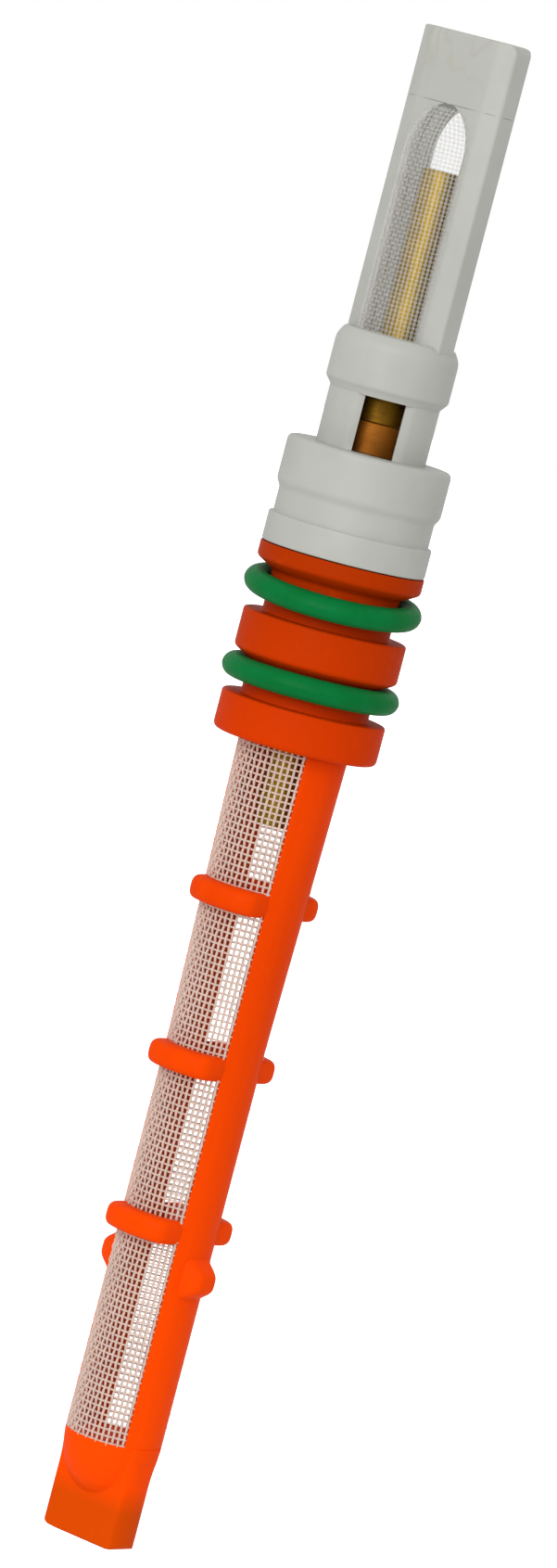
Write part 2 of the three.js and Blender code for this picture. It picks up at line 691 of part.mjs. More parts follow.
// ---- materials ----
function material(colour, roughness, metalness) {
  return new THREE.MeshStandardMaterial({ color: colour, roughness, metalness });
}

const orangePlastic = () => material(0xe8480a, 0.45, 0);
const greyPlastic = () => material(0xbebeb7, 0.5, 0);
const cloth = () => material(0xe6e0da, 0.6, 0);
const greenRubber = () => material(0x00783c, 0.5, 0);
const brass = () => material(0xc09a46, 0.35, 1);
const bronze = () => material(0x87500f, 0.4, 1);
const blackRubber = () => material(0x202020, 0.7, 0);
const steel = () => material(0xb0b4b8, 0.35, 1);

const upperRingHeight = upperGrooveTop - UPPER_O_RING_OFFSET;
const lowerRingHeight = lowerGrooveTop - LOWER_O_RING_OFFSET;
const ferruleLow = spigotTop - FERRULE_LENGTH;
const pieces = [
  ['inlet_body', inletBody(), orangePlastic()],
  ['outlet_body', outletBody(), greyPlastic()],
  ['inlet_screen_front', inletScreen(-90), cloth()],
  ['inlet_screen_back', inletScreen(90), cloth()],
  ['outlet_screen_front', outletScreen(-1), cloth()],
  ['outlet_screen_back', outletScreen(1), cloth()],
  ['o_ring_upper', oRing(upperRingHeight), greenRubber()],
  ['o_ring_lower', oRing(lowerRingHeight), greenRubber()],
  ['metering_tube', meteringTube(), brass()],
  ['tube_ferrule', sleeve(ferruleRadius, ferruleLow, spigotTop), brass()],
  ['valve_seat', valveSeat(), brass()],
  ['piston_seal', sleeve(pistonRadius, sealBottom, sealBottom + SEAL_THICKNESS), blackRubber()],
  ['valve_piston', valvePiston(), bronze()],
  ['valve_spring', valveSpring(), steel()],
];

const assembly = new THREE.Group();
assembly.name = 'orifice_tube';
for (const [name, solid, finish] of pieces) {
  assembly.add(toMesh(solid, name, finish));
}

export default assembly;
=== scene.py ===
"""Looks for the variable orifice tube: moulded cages, woven screens, O-rings, tube and valve.

Lengths are in millimetres until a mesh is stored, then in metres. +Z runs to the outlet end.
"""

import math

import bpy
import numpy as np
from mathutils import Matrix, Vector


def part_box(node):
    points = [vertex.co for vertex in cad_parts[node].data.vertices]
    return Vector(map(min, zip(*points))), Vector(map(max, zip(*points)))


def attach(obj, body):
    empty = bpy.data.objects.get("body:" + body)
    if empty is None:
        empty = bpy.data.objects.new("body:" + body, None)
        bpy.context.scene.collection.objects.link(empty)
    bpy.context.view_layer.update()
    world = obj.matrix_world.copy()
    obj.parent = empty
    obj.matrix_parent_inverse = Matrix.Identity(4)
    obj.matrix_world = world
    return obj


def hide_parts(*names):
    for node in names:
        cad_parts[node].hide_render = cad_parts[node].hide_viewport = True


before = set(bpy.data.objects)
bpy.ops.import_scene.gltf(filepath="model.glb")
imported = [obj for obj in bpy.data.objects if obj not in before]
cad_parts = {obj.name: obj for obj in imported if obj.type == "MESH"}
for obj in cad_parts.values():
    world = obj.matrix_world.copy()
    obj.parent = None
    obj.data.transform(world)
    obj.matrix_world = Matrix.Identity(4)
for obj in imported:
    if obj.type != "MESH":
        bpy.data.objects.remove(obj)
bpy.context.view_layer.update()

MM = 0.001
AROUND = 144


def span(node):
    """Lowest and highest corner of a CAD node, in millimetres."""
    low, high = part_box(node)
    return np.array(low) / MM, np.array(high) / MM


# ---- heights and radii, read from the frame ----
inlet_low, _ = span("inlet_body")
outlet_low, outlet_high = span("outlet_body")
tube_low, tube_high = span("metering_tube")
piston_low, piston_high = span("valve_piston")
upper_ring_low, upper_ring_high = span("o_ring_upper")
lower_ring_low, lower_ring_high = span("o_ring_lower")

BODY_JOINT = outlet_low[2]
OUTLET_TOP = outlet_high[2]
INLET_TIP = inlet_low[2]
COLLAR_R = outlet_high[0]
RING_SECTION = upper_ring_high[2] - upper_ring_low[2]

# ---- inlet body ----
TOP_COLLAR_Z = BODY_JOINT - 0.05
GROOVE_1_TOP = TOP_COLLAR_Z - 0.9
GROOVE_1_LOW = GROOVE_1_TOP - 2.97
GROOVE_2_TOP = GROOVE_1_LOW - 2.26
GROOVE_2_LOW = GROOVE_2_TOP - 2.52
CAGE_TOP = GROOVE_2_LOW - 2.31
CAGE_WAIST = CAGE_TOP - 17.4
CAGE_LOW = CAGE_TOP - 40.95
GROOVE_R = 3.71
GROOVE_TAPER = 0.6
UPPER_RING_LEAN = math.tan(math.radians(4.5))
LEAN_TO = np.array([0.588, -0.809])
MIDDLE_COLLAR_R = 4.75
CAGE_RADII = (2.82, 2.82, 3.18)
RAIL_HALF = math.radians(38)
RAIL_EDGE = 0.8 / 2.9
WINDOW_HALF = math.pi / 2 - RAIL_HALF
SCREEN_INSET = 0.03
SCREEN_DEPTH = 0.28
LEDGE = 0.3
LEDGE_ANGLE = math.radians(1.5)
RIB_R = 3.98
RIB_HALF = 0.71
RIB_ROUND = 0.66
RIB_FLAT = 0.8
RIB_FOOT = 0.3
RIB_Z = tuple(CAGE_TOP - d for d in (8.95, 18.6, 28.25))
TANG_Z = CAGE_TOP - 30.75
TANG_REACH_X = 3.72
TANG_HALVES = (1.2, 0.55)
TANG_WIDTHS = (1.12, 0.76)
OGIVE = 3.7
BLADE_HALF = 1.2
BLADE_R = 2.74
BLADE_CORNERS = (0.9, 0.5)
TIP_BAND = (0.06, 0.8)

# ---- tube and piston ----
TUBE_BORE_R = 0.725
PISTON_BORE_R = 1.25
PISTON_STEM_R = 1.66
PISTON_STEP = 1.8

# ---- outlet body ----
SHOULDER_LOW = -2.65
JOINT_GROOVE_TOP = -3.04
BAND_HEIGHT = 1.7
SPIGOT_POCKET = (3.35, -2.3)
SEAT_POCKET = (3.0, -0.85)
NECK_R = 3.19
NECK_TOP = 3.46
NECK_RING_R = 3.56
NECK_RING_TOP = 6.7
CHAMBER_R = 2.1
CHAMBER_TOP = 5.95
PANEL_DISTANCE = 2.74
PANEL_TOP = 3.4
PORT_HALF = 1.175
PORT_TOP = 3.2
PORT_TURN = math.radians(38 - 90)
BAR_FACE = (2.27, 1.2)
BAR_EDGE = (3.33, 0.71)
BAR_CORNERS = (0.12, 0.6)
SLOT_HALF = 1.9
SLOT_TURN = 17.2
SLOT_TOP = 20.05
BAND_R = 4.75
JOINT_GROOVE_R = 4.52
OUTLET_SCREEN_R = 2.57
OUTLET_SCREEN_TURN = 16.9
OUTLET_SCREEN_END = 20.3

# ---- woven cloth: threads across, pitches, radii and stand-off, lengthwise then crosswise ----
CAGE_CLOTH = {"across": 16, "pitches": (0.32, 0.38), "thick": (0.075, 0.06), "wave": 0.045}
BAR_CLOTH = {"across": 22, "pitches": (0.245, 0.24), "thick": (0.08, 0.035), "wave": 0.03}


# ---- surfaces ----
def quads_of_grid(rows, columns, close_rows=False):
    """Faces of a grid whose columns close on themselves: (i, j), (i, j+1), (i+1, j+1), (i+1, j)."""
    last = rows if close_rows else rows - 1
    i, j = np.meshgrid(np.arange(last), np.arange(columns), indexing="ij")
    down, right = (i + 1) % rows, (j + 1) % columns
    corners = [i * columns + j, i * columns + right, down * columns + right, down * columns + j]
    return np.stack(corners, axis=-1).reshape(-1, 4)


def volume_of(points, quads, triangles):
    """Signed volume: the sum of a . (b x c) / 6 over every triangle."""
    halves = np.concatenate([quads[:, [0, 1, 2]], quads[:, [0, 2, 3]], triangles])
    a, b, c = points[halves[:, 0]], points[halves[:, 1]], points[halves[:, 2]]
    return float(np.einsum("ij,ij->i", a, np.cross(b, c)).sum() / 6)


def outward(points, quads, triangles):
    """The same shell with its faces turned outwards."""
    if volume_of(points, quads, triangles) < 0:
        quads, triangles = quads[:, ::-1], triangles[:, ::-1]
    return points, quads, triangles


def loft(rings, closed=False):
    """A shell through rings of points: (m, n, 3). Its ends are closed with fans, unless the
    rings close on themselves."""
    rings = np.asarray(rings, float)
    m, n, _ = rings.shape
    points = rings.reshape(-1, 3)
    quads = quads_of_grid(m, n, closed)
    triangles = np.empty((0, 3), int)
    if not closed:
        middles = np.array([rings[0].mean(0), rings[-1].mean(0)])
        j = np.arange(n)
        k = (j + 1) % n
        first = np.stack([np.full(n, m * n), k, j], -1)
        last = np.stack([np.full(n, m * n + 1), (m - 1) * n + j, (m - 1) * n + k], -1)
        triangles = np.concatenate([first, last])
        points = np.concatenate([points, middles])
    return outward(points, quads, triangles)


def turned(profile, around=AROUND, closed=False):
    """A solid of revolution: (r cos t, r sin t, z) for each (r, z) of the profile."""
    profile = np.asarray(profile, float)
    t = np.linspace(0, 2 * math.pi, around, endpoint=False)
    r, z = profile[:, 0, None], profile[:, 1, None]
    rings = np.stack([r * np.cos(t), r * np.sin(t), z + 0 * t], -1)
    return loft(rings, closed)


def rounded(corners, steps=5, closed=False):
    """A line through (x, z, radius) corners, each cut back by its radius and joined with an arc:
    p(s) = (1-s)^2 a + 2 s (1-s) corner + s^2 b."""
    corners = [np.array(c, float) for c in corners]
    s = np.linspace(0, 1, steps)[:, None]
    out = []
    count = len(corners)
    for i, corner in enumerate(corners):
        place, radius = corner[:2], corner[2]
        end = not closed and i in (0, count - 1)
        if radius == 0 or end:
            out.append(place[None])
            continue
        before, after = corners[i - 1][:2] - place, corners[(i + 1) % count][:2] - place
        reach = min(radius, 0.49 * np.linalg.norm(before), 0.49 * np.linalg.norm(after))
        a = place + before / np.linalg.norm(before) * reach
        b = place + after / np.linalg.norm(after) * reach
        out.append((1 - s) ** 2 * a + 2 * s * (1 - s) * place + s**2 * b)
    return np.concatenate(out)


def joined(shells):
    """Several shells as one set of arrays."""
    points, quads, triangles, start = [], [], [], 0
    for p, q, t in shells:
        points.append(p)
        quads.append(q + start)
        triangles.append(t + start)
        start += len(p)
    return np.concatenate(points), np.concatenate(quads), np.concatenate(triangles)


def make_piece(name, shells, finish, nodes, body="housing", crease=40):
    """Stores shells as one object that stands for CAD nodes and rides on a body."""
    points, quads, triangles = joined(shells)
    mesh = bpy.data.meshes.new(name)
    mesh.vertices.add(len(points))
    mesh.vertices.foreach_set("co", (points * MM).astype(np.float32).ravel())
    loops = np.concatenate([quads.ravel(), triangles.ravel()]).astype(np.int32)
    totals = np.concatenate([np.full(len(quads), 4), np.full(len(triangles), 3)])
    starts = np.concatenate([[0], np.cumsum(totals)[:-1]]).astype(np.int32)
    mesh.loops.add(len(loops))
    mesh.loops.foreach_set("vertex_index", loops)
    mesh.polygons.add(len(totals))
    mesh.polygons.foreach_set("loop_start", starts)
    mesh.polygons.foreach_set("use_smooth", np.ones(len(totals), bool))
    mesh.update(calc_edges=True)
    mesh.validate()
    mesh.set_sharp_from_angle(angle=math.radians(crease))
    mesh.materials.append(finish)
    obj = bpy.data.objects.new(name, mesh)
    bpy.context.scene.collection.objects.link(obj)
    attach(obj, body)
    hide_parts(*nodes)
    return obj


def blend_over(value, low, high):
    """Smooth step: 3s^2 - 2s^3 with s running from 0 at low to 1 at high."""
    s = np.clip((value - low) / (high - low), 0, 1)
    return s * s * (3 - 2 * s)


# ---- materials ----
class Finish:
    """A node material on Object coordinates, with short calls for its parts."""

    def __init__(self, name):
        self.material = bpy.data.materials.new(name)
        self.material.use_nodes = True
        self.tree = self.material.node_tree
        self.shader = self.tree.nodes["Principled BSDF"]
        self.place = self.node("ShaderNodeTexCoord").outputs["Object"]

    def node(self, kind, **settings):
        made = self.tree.nodes.new(kind)
        for key, value in settings.items():
            setattr(made, key, value)
        return made

    def link(self, source, target):
        self.tree.links.new(source, target)

    def stretched(self, scale, turn=(0, 0, 0)):
        made = self.node("ShaderNodeMapping")
        made.inputs["Scale"].default_value = scale
        made.inputs["Rotation"].default_value = turn
        self.link(self.place, made.inputs["Vector"])
        return made.outputs["Vector"]

    def noise(self, scale, detail=3.0, roughness=0.5, place=None):
        made = self.node("ShaderNodeTexNoise")
        made.inputs["Scale"].default_value = scale
        made.inputs["Detail"].default_value = detail
        made.inputs["Roughness"].default_value = roughness
        self.link(place or self.place, made.inputs["Vector"])
        return made.outputs["Fac"]

    def ramp(self, source, low, high, start=0.0, end=1.0):
        made = self.node("ShaderNodeMapRange")
        for key, value in zip(("From Min", "From Max", "To Min", "To Max"), (low, high, start, end)):
            made.inputs[key].default_value = value
        self.link(source, made.inputs["Value"])
        return made.outputs["Result"]

    def maths(self, kind, a, b):
        made = self.node("ShaderNodeMath", operation=kind)
        for socket, value in zip(made.inputs, (a, b)):
            if isinstance(value, (int, float)):
                socket.default_value = value
            else:
                self.link(value, socket)
        return made.outputs[0]

    def mix(self, share, a, b):
        made = self.node("ShaderNodeMix", data_type="RGBA")
        if isinstance(share, (int, float)):
            made.inputs["Factor"].default_value = share
        else:
            self.link(share, made.inputs["Factor"])
        for socket, value in ((made.inputs[6], a), (made.inputs[7], b)):
            if isinstance(value, tuple):
                socket.default_value = (*value, 1)
            else:
                self.link(value, socket)
        return made.outputs[2]

    def axis(self, letter):
        made = self.node("ShaderNodeSeparateXYZ")
        self.link(self.place, made.inputs[0])
        return made.outputs[letter]

    def bump(self, source, strength, depth, under=None):
        made = self.node("ShaderNodeBump")
        made.inputs["Strength"].default_value = strength
        made.inputs["Distance"].default_value = depth
        self.link(source, made.inputs["Height"])
        if under:
            self.link(under, made.inputs["Normal"])
        return made.outputs["Normal"]

    def finish(self, colour, roughness, normal=None, **fixed):
        for target, value in (("Base Color", colour), ("Roughness", roughness)):
            if isinstance(value, tuple):
                self.shader.inputs[target].default_value = (*value, 1)
            elif isinstance(value, (int, float)):
                self.shader.inputs[target].default_value = value
            else:
                self.link(value, self.shader.inputs[target])
        if normal:
            self.link(normal, self.shader.inputs["Normal"])
        for key, value in fixed.items():
            self.shader.inputs[key.replace("_", " ")].default_value = value
        return self.material


def orange_nylon():
    """Moulded orange nylon with faint flow marks and a fine texture. Painted light brightens the cage
    downwards; painted shade darkens the blade, browns the collars towards the top and deepens the bore to
    brown-orange."""
    f = Finish("orange_moulded_nylon")
    flow = f.noise(60, 4, 0.6, f.stretched((9, 9, 1)))
    speck = f.noise(2600, 3, 0.6)
    wear = f.noise(700, 4, 0.65)
    x, y, z = f.axis("X"), f.axis("Y"), f.axis("Z")
    across = f.maths("SQRT", f.maths("ADD", f.maths("MULTIPLY", x, x), f.maths("MULTIPLY", y, y)), 0)
    collars = f.ramp(z, (CAGE_TOP - 0.3) * MM, CAGE_TOP * MM)
    # painted light: the cage's colour is made brighter towards its lower end
    painted_light_low = f.ramp(z, (CAGE_WAIST + 6) * MM, CAGE_LOW * MM)
    in_cage = f.maths("MULTIPLY", f.ramp(z, CAGE_LOW * MM, (CAGE_LOW + 0.1) * MM),
                      f.ramp(z, CAGE_TOP * MM, (CAGE_TOP - 0.1) * MM))
    # painted shade: the bore inside the cage is painted a darker, deeper brown-orange
    bore = f.maths("MULTIPLY", in_cage, f.ramp(across, 0.00266, 0.00256))
    colour = f.mix(f.ramp(flow, 0.35, 0.7), (0.79, 0.054, 0.0), (0.73, 0.049, 0.0))
    colour = f.mix(f.maths("MULTIPLY", painted_light_low, 0.9), colour, (0.95, 0.066, 0.0))
    # painted shade: the blade below the ogive is painted a darker orange
    blade = f.ramp(z, (CAGE_LOW - 2.4) * MM, (CAGE_LOW - 3.9) * MM)
    colour = f.mix(blade, colour, (0.64, 0.062, 0.0))
    # painted shade: the collars are painted browner and darker, more so towards the top
    height = f.ramp(z, CAGE_TOP * MM, TOP_COLLAR_Z * MM)
    painted_collar_shade = f.mix(height, (0.58, 0.036, 0.0), (0.34, 0.026, 0.0))
    colour = f.mix(f.maths("MULTIPLY", collars, 0.9), colour, painted_collar_shade)
    colour = f.mix(f.ramp(wear, 0.6, 0.8, 0, 0.2), colour, (0.82, 0.08, 0.001))
    colour = f.mix(bore, colour, (0.55, 0.065, 0.008))
    rough = f.ramp(speck, 0.3, 0.7, 0.38, 0.55)
    normal = f.bump(speck, 0.25, 0.00002, f.bump(flow, 0.3, 0.00005))
    return f.finish(colour, rough, normal, Subsurface_Weight=0.08, Subsurface_Scale=0.0004,
                    Subsurface_Radius=(1.0, 0.35, 0.1), IOR=1.5, Specular_IOR_Level=0.02)


def grey_nylon():
    """Moulded grey-white nylon: soft mottling, a brownish stain by the gate at the bar's top."""
    f = Finish("grey_moulded_nylon")
    cloud = f.noise(220, 4, 0.55)
    speck = f.noise(3000, 3, 0.6)
    top = f.ramp(f.axis("Z"), 0.0195, 0.0235)
    vein = f.noise(420, 2, 0.5, f.stretched((1, 1, 0.55), (0.3, 0.2, 0.9)))
    line = f.maths("SUBTRACT", 1, f.ramp(f.maths("ABSOLUTE", f.maths("SUBTRACT", vein, 0.5), 0),
                                       0.0, 0.035))
    stain = f.maths("MULTIPLY", f.maths("MULTIPLY", top, line), 0.16)
    colour = f.mix(f.ramp(cloud, 0.35, 0.7), (0.422, 0.425, 0.392), (0.384, 0.388, 0.353))
    colour = f.mix(stain, colour, (0.28, 0.23, 0.13))
    rough = f.ramp(speck, 0.3, 0.7, 0.38, 0.55)
    normal = f.bump(speck, 0.2, 0.00002, f.bump(cloud, 0.25, 0.00006))
    return f.finish(colour, rough, normal, Subsurface_Weight=0.08, Subsurface_Scale=0.0005,
                    Subsurface_Radius=(1.0, 0.9, 0.75), IOR=1.5, Specular_IOR_Level=0.3)


def woven_nylon(name, tint, alpha):
    """Clear-white nylon thread, partly see-through, so that it takes on what lies behind it. The tint may
    carry painted reflection.
    """
    f = Finish(name)
    patch = f.noise(900, 3, 0.6)
    colour = f.mix(f.ramp(patch, 0.3, 0.7), tint, tuple(0.9 * c for c in tint))
    rough = f.ramp(f.noise(4000, 2), 0.3, 0.7, 0.3, 0.45)
    return f.finish(colour, rough, None, Alpha=alpha, IOR=1.4, Specular_IOR_Level=0.3)


def green_nitrile():
    """Green rubber: dusty bloom and a fine skin."""
    f = Finish("green_nitrile_rubber")
    bloom = f.noise(500, 5, 0.65)
    skin = f.noise(3500, 3, 0.6)
    colour = f.mix(f.ramp(bloom, 0.4, 0.75), (0.0, 0.137, 0.026), (0.0, 0.168, 0.040))
    rough = f.ramp(skin, 0.3, 0.7, 0.36, 0.55)
    normal = f.bump(skin, 0.3, 0.00002, f.bump(bloom, 0.2, 0.00004))
    return f.finish(colour, rough, normal, IOR=1.52, Specular_IOR_Level=0.06)


def drawn_brass():
    """Drawn brass: fine lines along the tube and a warm patchy tarnish."""
    f = Finish("drawn_brass")
    lines = f.noise(900, 4, 0.6, f.stretched((6, 6, 0.15)))
    patch = f.noise(500, 4, 0.6)
    colour = f.mix(f.ramp(patch, 0.35, 0.7), (0.40, 0.26, 0.02), (0.27, 0.17, 0.01))
    rough = f.ramp(lines, 0.3, 0.7, 0.42, 0.62)
    normal = f.bump(lines, 0.4, 0.00002)
    return f.finish(colour, rough, normal, Metallic=1.0)


def brown_bronze():
    """Turned brass: rings left by the tool, patchy tarnish, copper-brown below the step and a darker
    olive above it that is painted shade.
    """
    f = Finish("turned_brown_brass")
    rings = f.noise(1500, 3, 0.6, f.stretched((0.2, 0.2, 5)))
    patch = f.noise(900, 4, 0.6)
    above = f.ramp(f.axis("Z"), (PISTON_STEP - 0.1) * MM, (PISTON_STEP + 0.1) * MM)
    low = f.mix(f.ramp(patch, 0.35, 0.7), (0.30, 0.098, 0.005), (0.205, 0.064, 0.003))
    # painted shade: above the step the brass is painted a darker olive
    high = f.mix(f.ramp(patch, 0.35, 0.7), (0.19, 0.090, 0.0), (0.11, 0.050, 0.0))
    colour = f.mix(above, low, high)
    rough = f.ramp(rings, 0.3, 0.7, 0.45, 0.65)
    normal = f.bump(rings, 0.4, 0.00003)
    return f.finish(colour, rough, normal, Metallic=0.8)


def black_washer():
    """Black rubber washer with a fine skin."""
    f = Finish("black_rubber")
    skin = f.noise(3000, 3, 0.6)
    colour = f.mix(f.ramp(skin, 0.35, 0.7), (0.012, 0.012, 0.013), (0.03, 0.03, 0.03))
    return f.finish(colour, f.ramp(skin, 0.3, 0.7, 0.5, 0.75), f.bump(skin, 0.3, 0.00003))


def spring_wire():
    """Bright spring wire with fine drawing lines."""
    f = Finish("spring_wire")
    lines = f.noise(3000, 3, 0.6, f.stretched((1, 1, 4)))
    colour = f.mix(f.ramp(lines, 0.3, 0.7), (0.62, 0.63, 0.65), (0.42, 0.43, 0.45))
    return f.finish(colour, f.ramp(lines, 0.3, 0.7, 0.2, 0.4), None, Metallic=1.0)


# ---- inlet body ----
def cage_radius(z):
    """Outer radius of the cage: straight lines between its tip, waist and top."""
    return np.interp(z, (CAGE_LOW, CAGE_WAIST, CAGE_TOP), CAGE_RADII)


def inlet_collars():
    """Collars and O-ring grooves, turned from one profile and solid to the axis."""
    top, low = TOP_COLLAR_Z, CAGE_TOP
    corners = [
        (0.4, low, 0), (COLLAR_R, low, 0.4), (COLLAR_R, GROOVE_2_LOW, 0.18),
        (GROOVE_R, GROOVE_2_LOW, 0.12), (GROOVE_R, GROOVE_2_TOP - GROOVE_TAPER, 0.2),
        (MIDDLE_COLLAR_R, GROOVE_2_TOP, 0.2), (MIDDLE_COLLAR_R, GROOVE_1_LOW, 0.2),
        (GROOVE_R, GROOVE_1_LOW, 0.12), (GROOVE_R, GROOVE_1_TOP - GROOVE_TAPER, 0.2),
        (COLLAR_R, GROOVE_1_TOP, 0.2), (COLLAR_R, top, 0.06), (0.4, top, 0),
    ]
    return turned(rounded(corners, 7))


def inlet_rail(side):
    """One rail: a section in (angle, depth below the outer wall) carried down the cage."""
    under = SCREEN_INSET + SCREEN_DEPTH + 0.05
    bore = under + LEDGE
    edge = rounded([
        (RAIL_HALF - RAIL_EDGE, 0, 0), (RAIL_HALF, 0, 0.035), (RAIL_HALF, under, 0),
        (RAIL_HALF + LEDGE_ANGLE, under, 0.05), (RAIL_HALF + LEDGE_ANGLE, bore, 0.05),
        (RAIL_HALF - LEDGE_ANGLE, bore, 0),
    ])
    across = np.linspace(-RAIL_HALF + RAIL_EDGE, RAIL_HALF - RAIL_EDGE, 26)[1:-1]
    inner = np.linspace(RAIL_HALF - LEDGE_ANGLE, -RAIL_HALF + LEDGE_ANGLE, 14)[1:-1]
    mirrored = edge[::-1] * (-1, 1)
    section = np.concatenate([
        np.stack([across, 0 * across], -1), edge, np.stack([inner, 0 * inner + bore], -1), mirrored,
    ])
    z = np.linspace(CAGE_LOW - 0.3, CAGE_TOP + 0.3, 60)[:, None]
    radius = cage_radius(z) - section[None, :, 1]
    angle = section[None, :, 0]
    rings = np.stack([side * radius * np.cos(angle), radius * np.sin(angle), z + 0 * angle], -1)
    return loft(rings)


def inlet_rib(side, middle):
    """A rib arched over one window. Its outer radius is the smaller of the arch and the flat that
    meets the rail: R(t) = (arch^-p + (flat / |sin t|)^-p)^(-1/p)."""
    wall = float(cage_radius(middle))
    inner = wall - RIB_FOOT
    t = np.linspace(-WINDOW_HALF - 0.24, WINDOW_HALF + 0.24, 64)
    flat = RIB_FLAT * wall / np.maximum(np.abs(np.sin(t)), 1e-3)
    outer = (RIB_R**-16.0 + flat**-16.0) ** (-1 / 16)
    section = rounded([
        (0, RIB_HALF, RIB_ROUND), (0, -RIB_HALF, RIB_ROUND), (1.2, -RIB_HALF, 0.05),
        (1.2, RIB_HALF, 0.05),
    ], 9, closed=True)
    radius = np.maximum(outer[:, None] - section[None, :, 0], inner)
    x = radius * np.sin(t)[:, None]
    y = side * radius * np.cos(t)[:, None]
    z = middle + section[None, :, 1] + 0 * radius
    return loft(np.stack([x, y, z], -1))


def inlet_tang(side):
    """A pulling ear: a rounded rectangle whose halves shrink in a straight line from the rail to
    the crest, where it is rounded over: h(rise) = (foot + (crest - foot) rise) * round(rise)."""
    u = np.linspace(0, 1, 26)[:, None]
    t = np.linspace(0, 2 * math.pi, 56, endpoint=False)[None]
    foot = float(cage_radius(TANG_Z))
    reach = foot - 0.6 + (TANG_REACH_X - foot + 0.6) * u
    rise = np.clip((reach - foot) / (TANG_REACH_X - foot), -0.15, 1)
    over = 0.8 + 0.2 * np.sqrt(np.clip(1 - np.clip((rise - 0.6) / 0.4, 0, 1) ** 2, 0, 1))
    tall = (TANG_HALVES[0] + (TANG_HALVES[1] - TANG_HALVES[0]) * rise) * over
    wide = (TANG_WIDTHS[0] + (TANG_WIDTHS[1] - TANG_WIDTHS[0]) * rise) * over
    power = 0.5
    c, s = np.cos(t), np.sin(t)
    y = wide * np.sign(c) * np.abs(c) ** power
    z = TANG_Z + tall * np.sign(s) * np.abs(s) ** power
    return loft(np.stack([side * reach + 0 * y, y, z], -1))


def bottom_corner(z, corner, reach, low):
    """Half width of a plate near its rounded end: reach - c + sqrt(c^2 - d^2)."""
    d = np.clip(low + corner - z, 0, corner)
    return reach - corner + np.sqrt(corner**2 - d**2)


def inlet_tip():
    """Ogive over a flat blade. R is a soft maximum of the ogive's circle and the blade's section,
    and the blade's section is a soft minimum of a circle and a pair of flats."""
    z = np.concatenate([
        np.linspace(CAGE_LOW, CAGE_LOW - OGIVE, 40),
        np.linspace(CAGE_LOW - OGIVE, INLET_TIP, 30)[1:],
    ])[:, None]
    t = np.linspace(0, 2 * math.pi, 240, endpoint=False)[None]
    share = np.clip((CAGE_LOW - z) / OGIVE, 0, 1)
    ogive = CAGE_RADII[0] * np.sqrt(1 - share**2) + 1e-3
    flats = BLADE_HALF / np.maximum(np.abs(np.sin(t)), 1e-3)
    blade = (BLADE_R**-26.0 + flats**-26.0) ** (-1 / 26)
    radius = (ogive**22 + blade**22) ** (1 / 22)
    band = blend_over(z, CAGE_LOW - TIP_BAND[1] - 0.15, CAGE_LOW - TIP_BAND[1] + 0.1)
    slab = blend_over(BLADE_HALF - radius * np.abs(np.sin(t)), -0.1, 0.1)
    radius = np.minimum(radius, CAGE_RADII[0] + TIP_BAND[0] * band * slab)
    soft = 0.22
    drop = np.clip(soft - (z - INLET_TIP), 0, soft)
    inset = soft - np.sqrt(soft**2 - drop**2)
    x, y = radius * np.cos(t), radius * np.sin(t)
    reach = BLADE_R + (CAGE_RADII[0] + TIP_BAND[0] - BLADE_R) * band
    left = bottom_corner(z, BLADE_CORNERS[0], reach, INLET_TIP)
    right = bottom_corner(z, BLADE_CORNERS[1], reach, INLET_TIP)
    x = np.clip(x, -left + 0.5 * inset, right - 0.5 * inset)
    y = np.sign(y) * np.maximum(np.abs(y) - inset, 0)
    return loft(np.stack([x, y, z + 0 * x], -1))


def build_inlet_body(finish):
    shells = [inlet_collars(), inlet_tip()]
    for side in (-1, 1):
        shells += [inlet_rail(side), inlet_tang(side)]
        shells += [inlet_rib(side, middle) for middle in RIB_Z]
    return make_piece("inlet_moulding", shells, finish, ["inlet_body"])


# ---- outlet body ----
def outlet_base():
    """Band, joint groove and shoulder flange, turned as a sleeve."""
    low = BODY_JOINT
    spigot_r, spigot_top = SPIGOT_POCKET
    seat_r, seat_top = SEAT_POCKET
    profile = rounded([
        (spigot_r, low, 0), (BAND_R, low, 0.12), (BAND_R, low + BAND_HEIGHT, 0.12),
        (JOINT_GROOVE_R, low + BAND_HEIGHT, 0.08), (JOINT_GROOVE_R, JOINT_GROOVE_TOP, 0.15),
        (COLLAR_R, SHOULDER_LOW, 0.2), (COLLAR_R, 0, 0.38), (CHAMBER_R, 0, 0),
        (CHAMBER_R, seat_top, 0), (seat_r, seat_top, 0), (seat_r, spigot_top, 0),
        (spigot_r, spigot_top, 0),
    ], 8, closed=True)
    return turned(profile, closed=True)


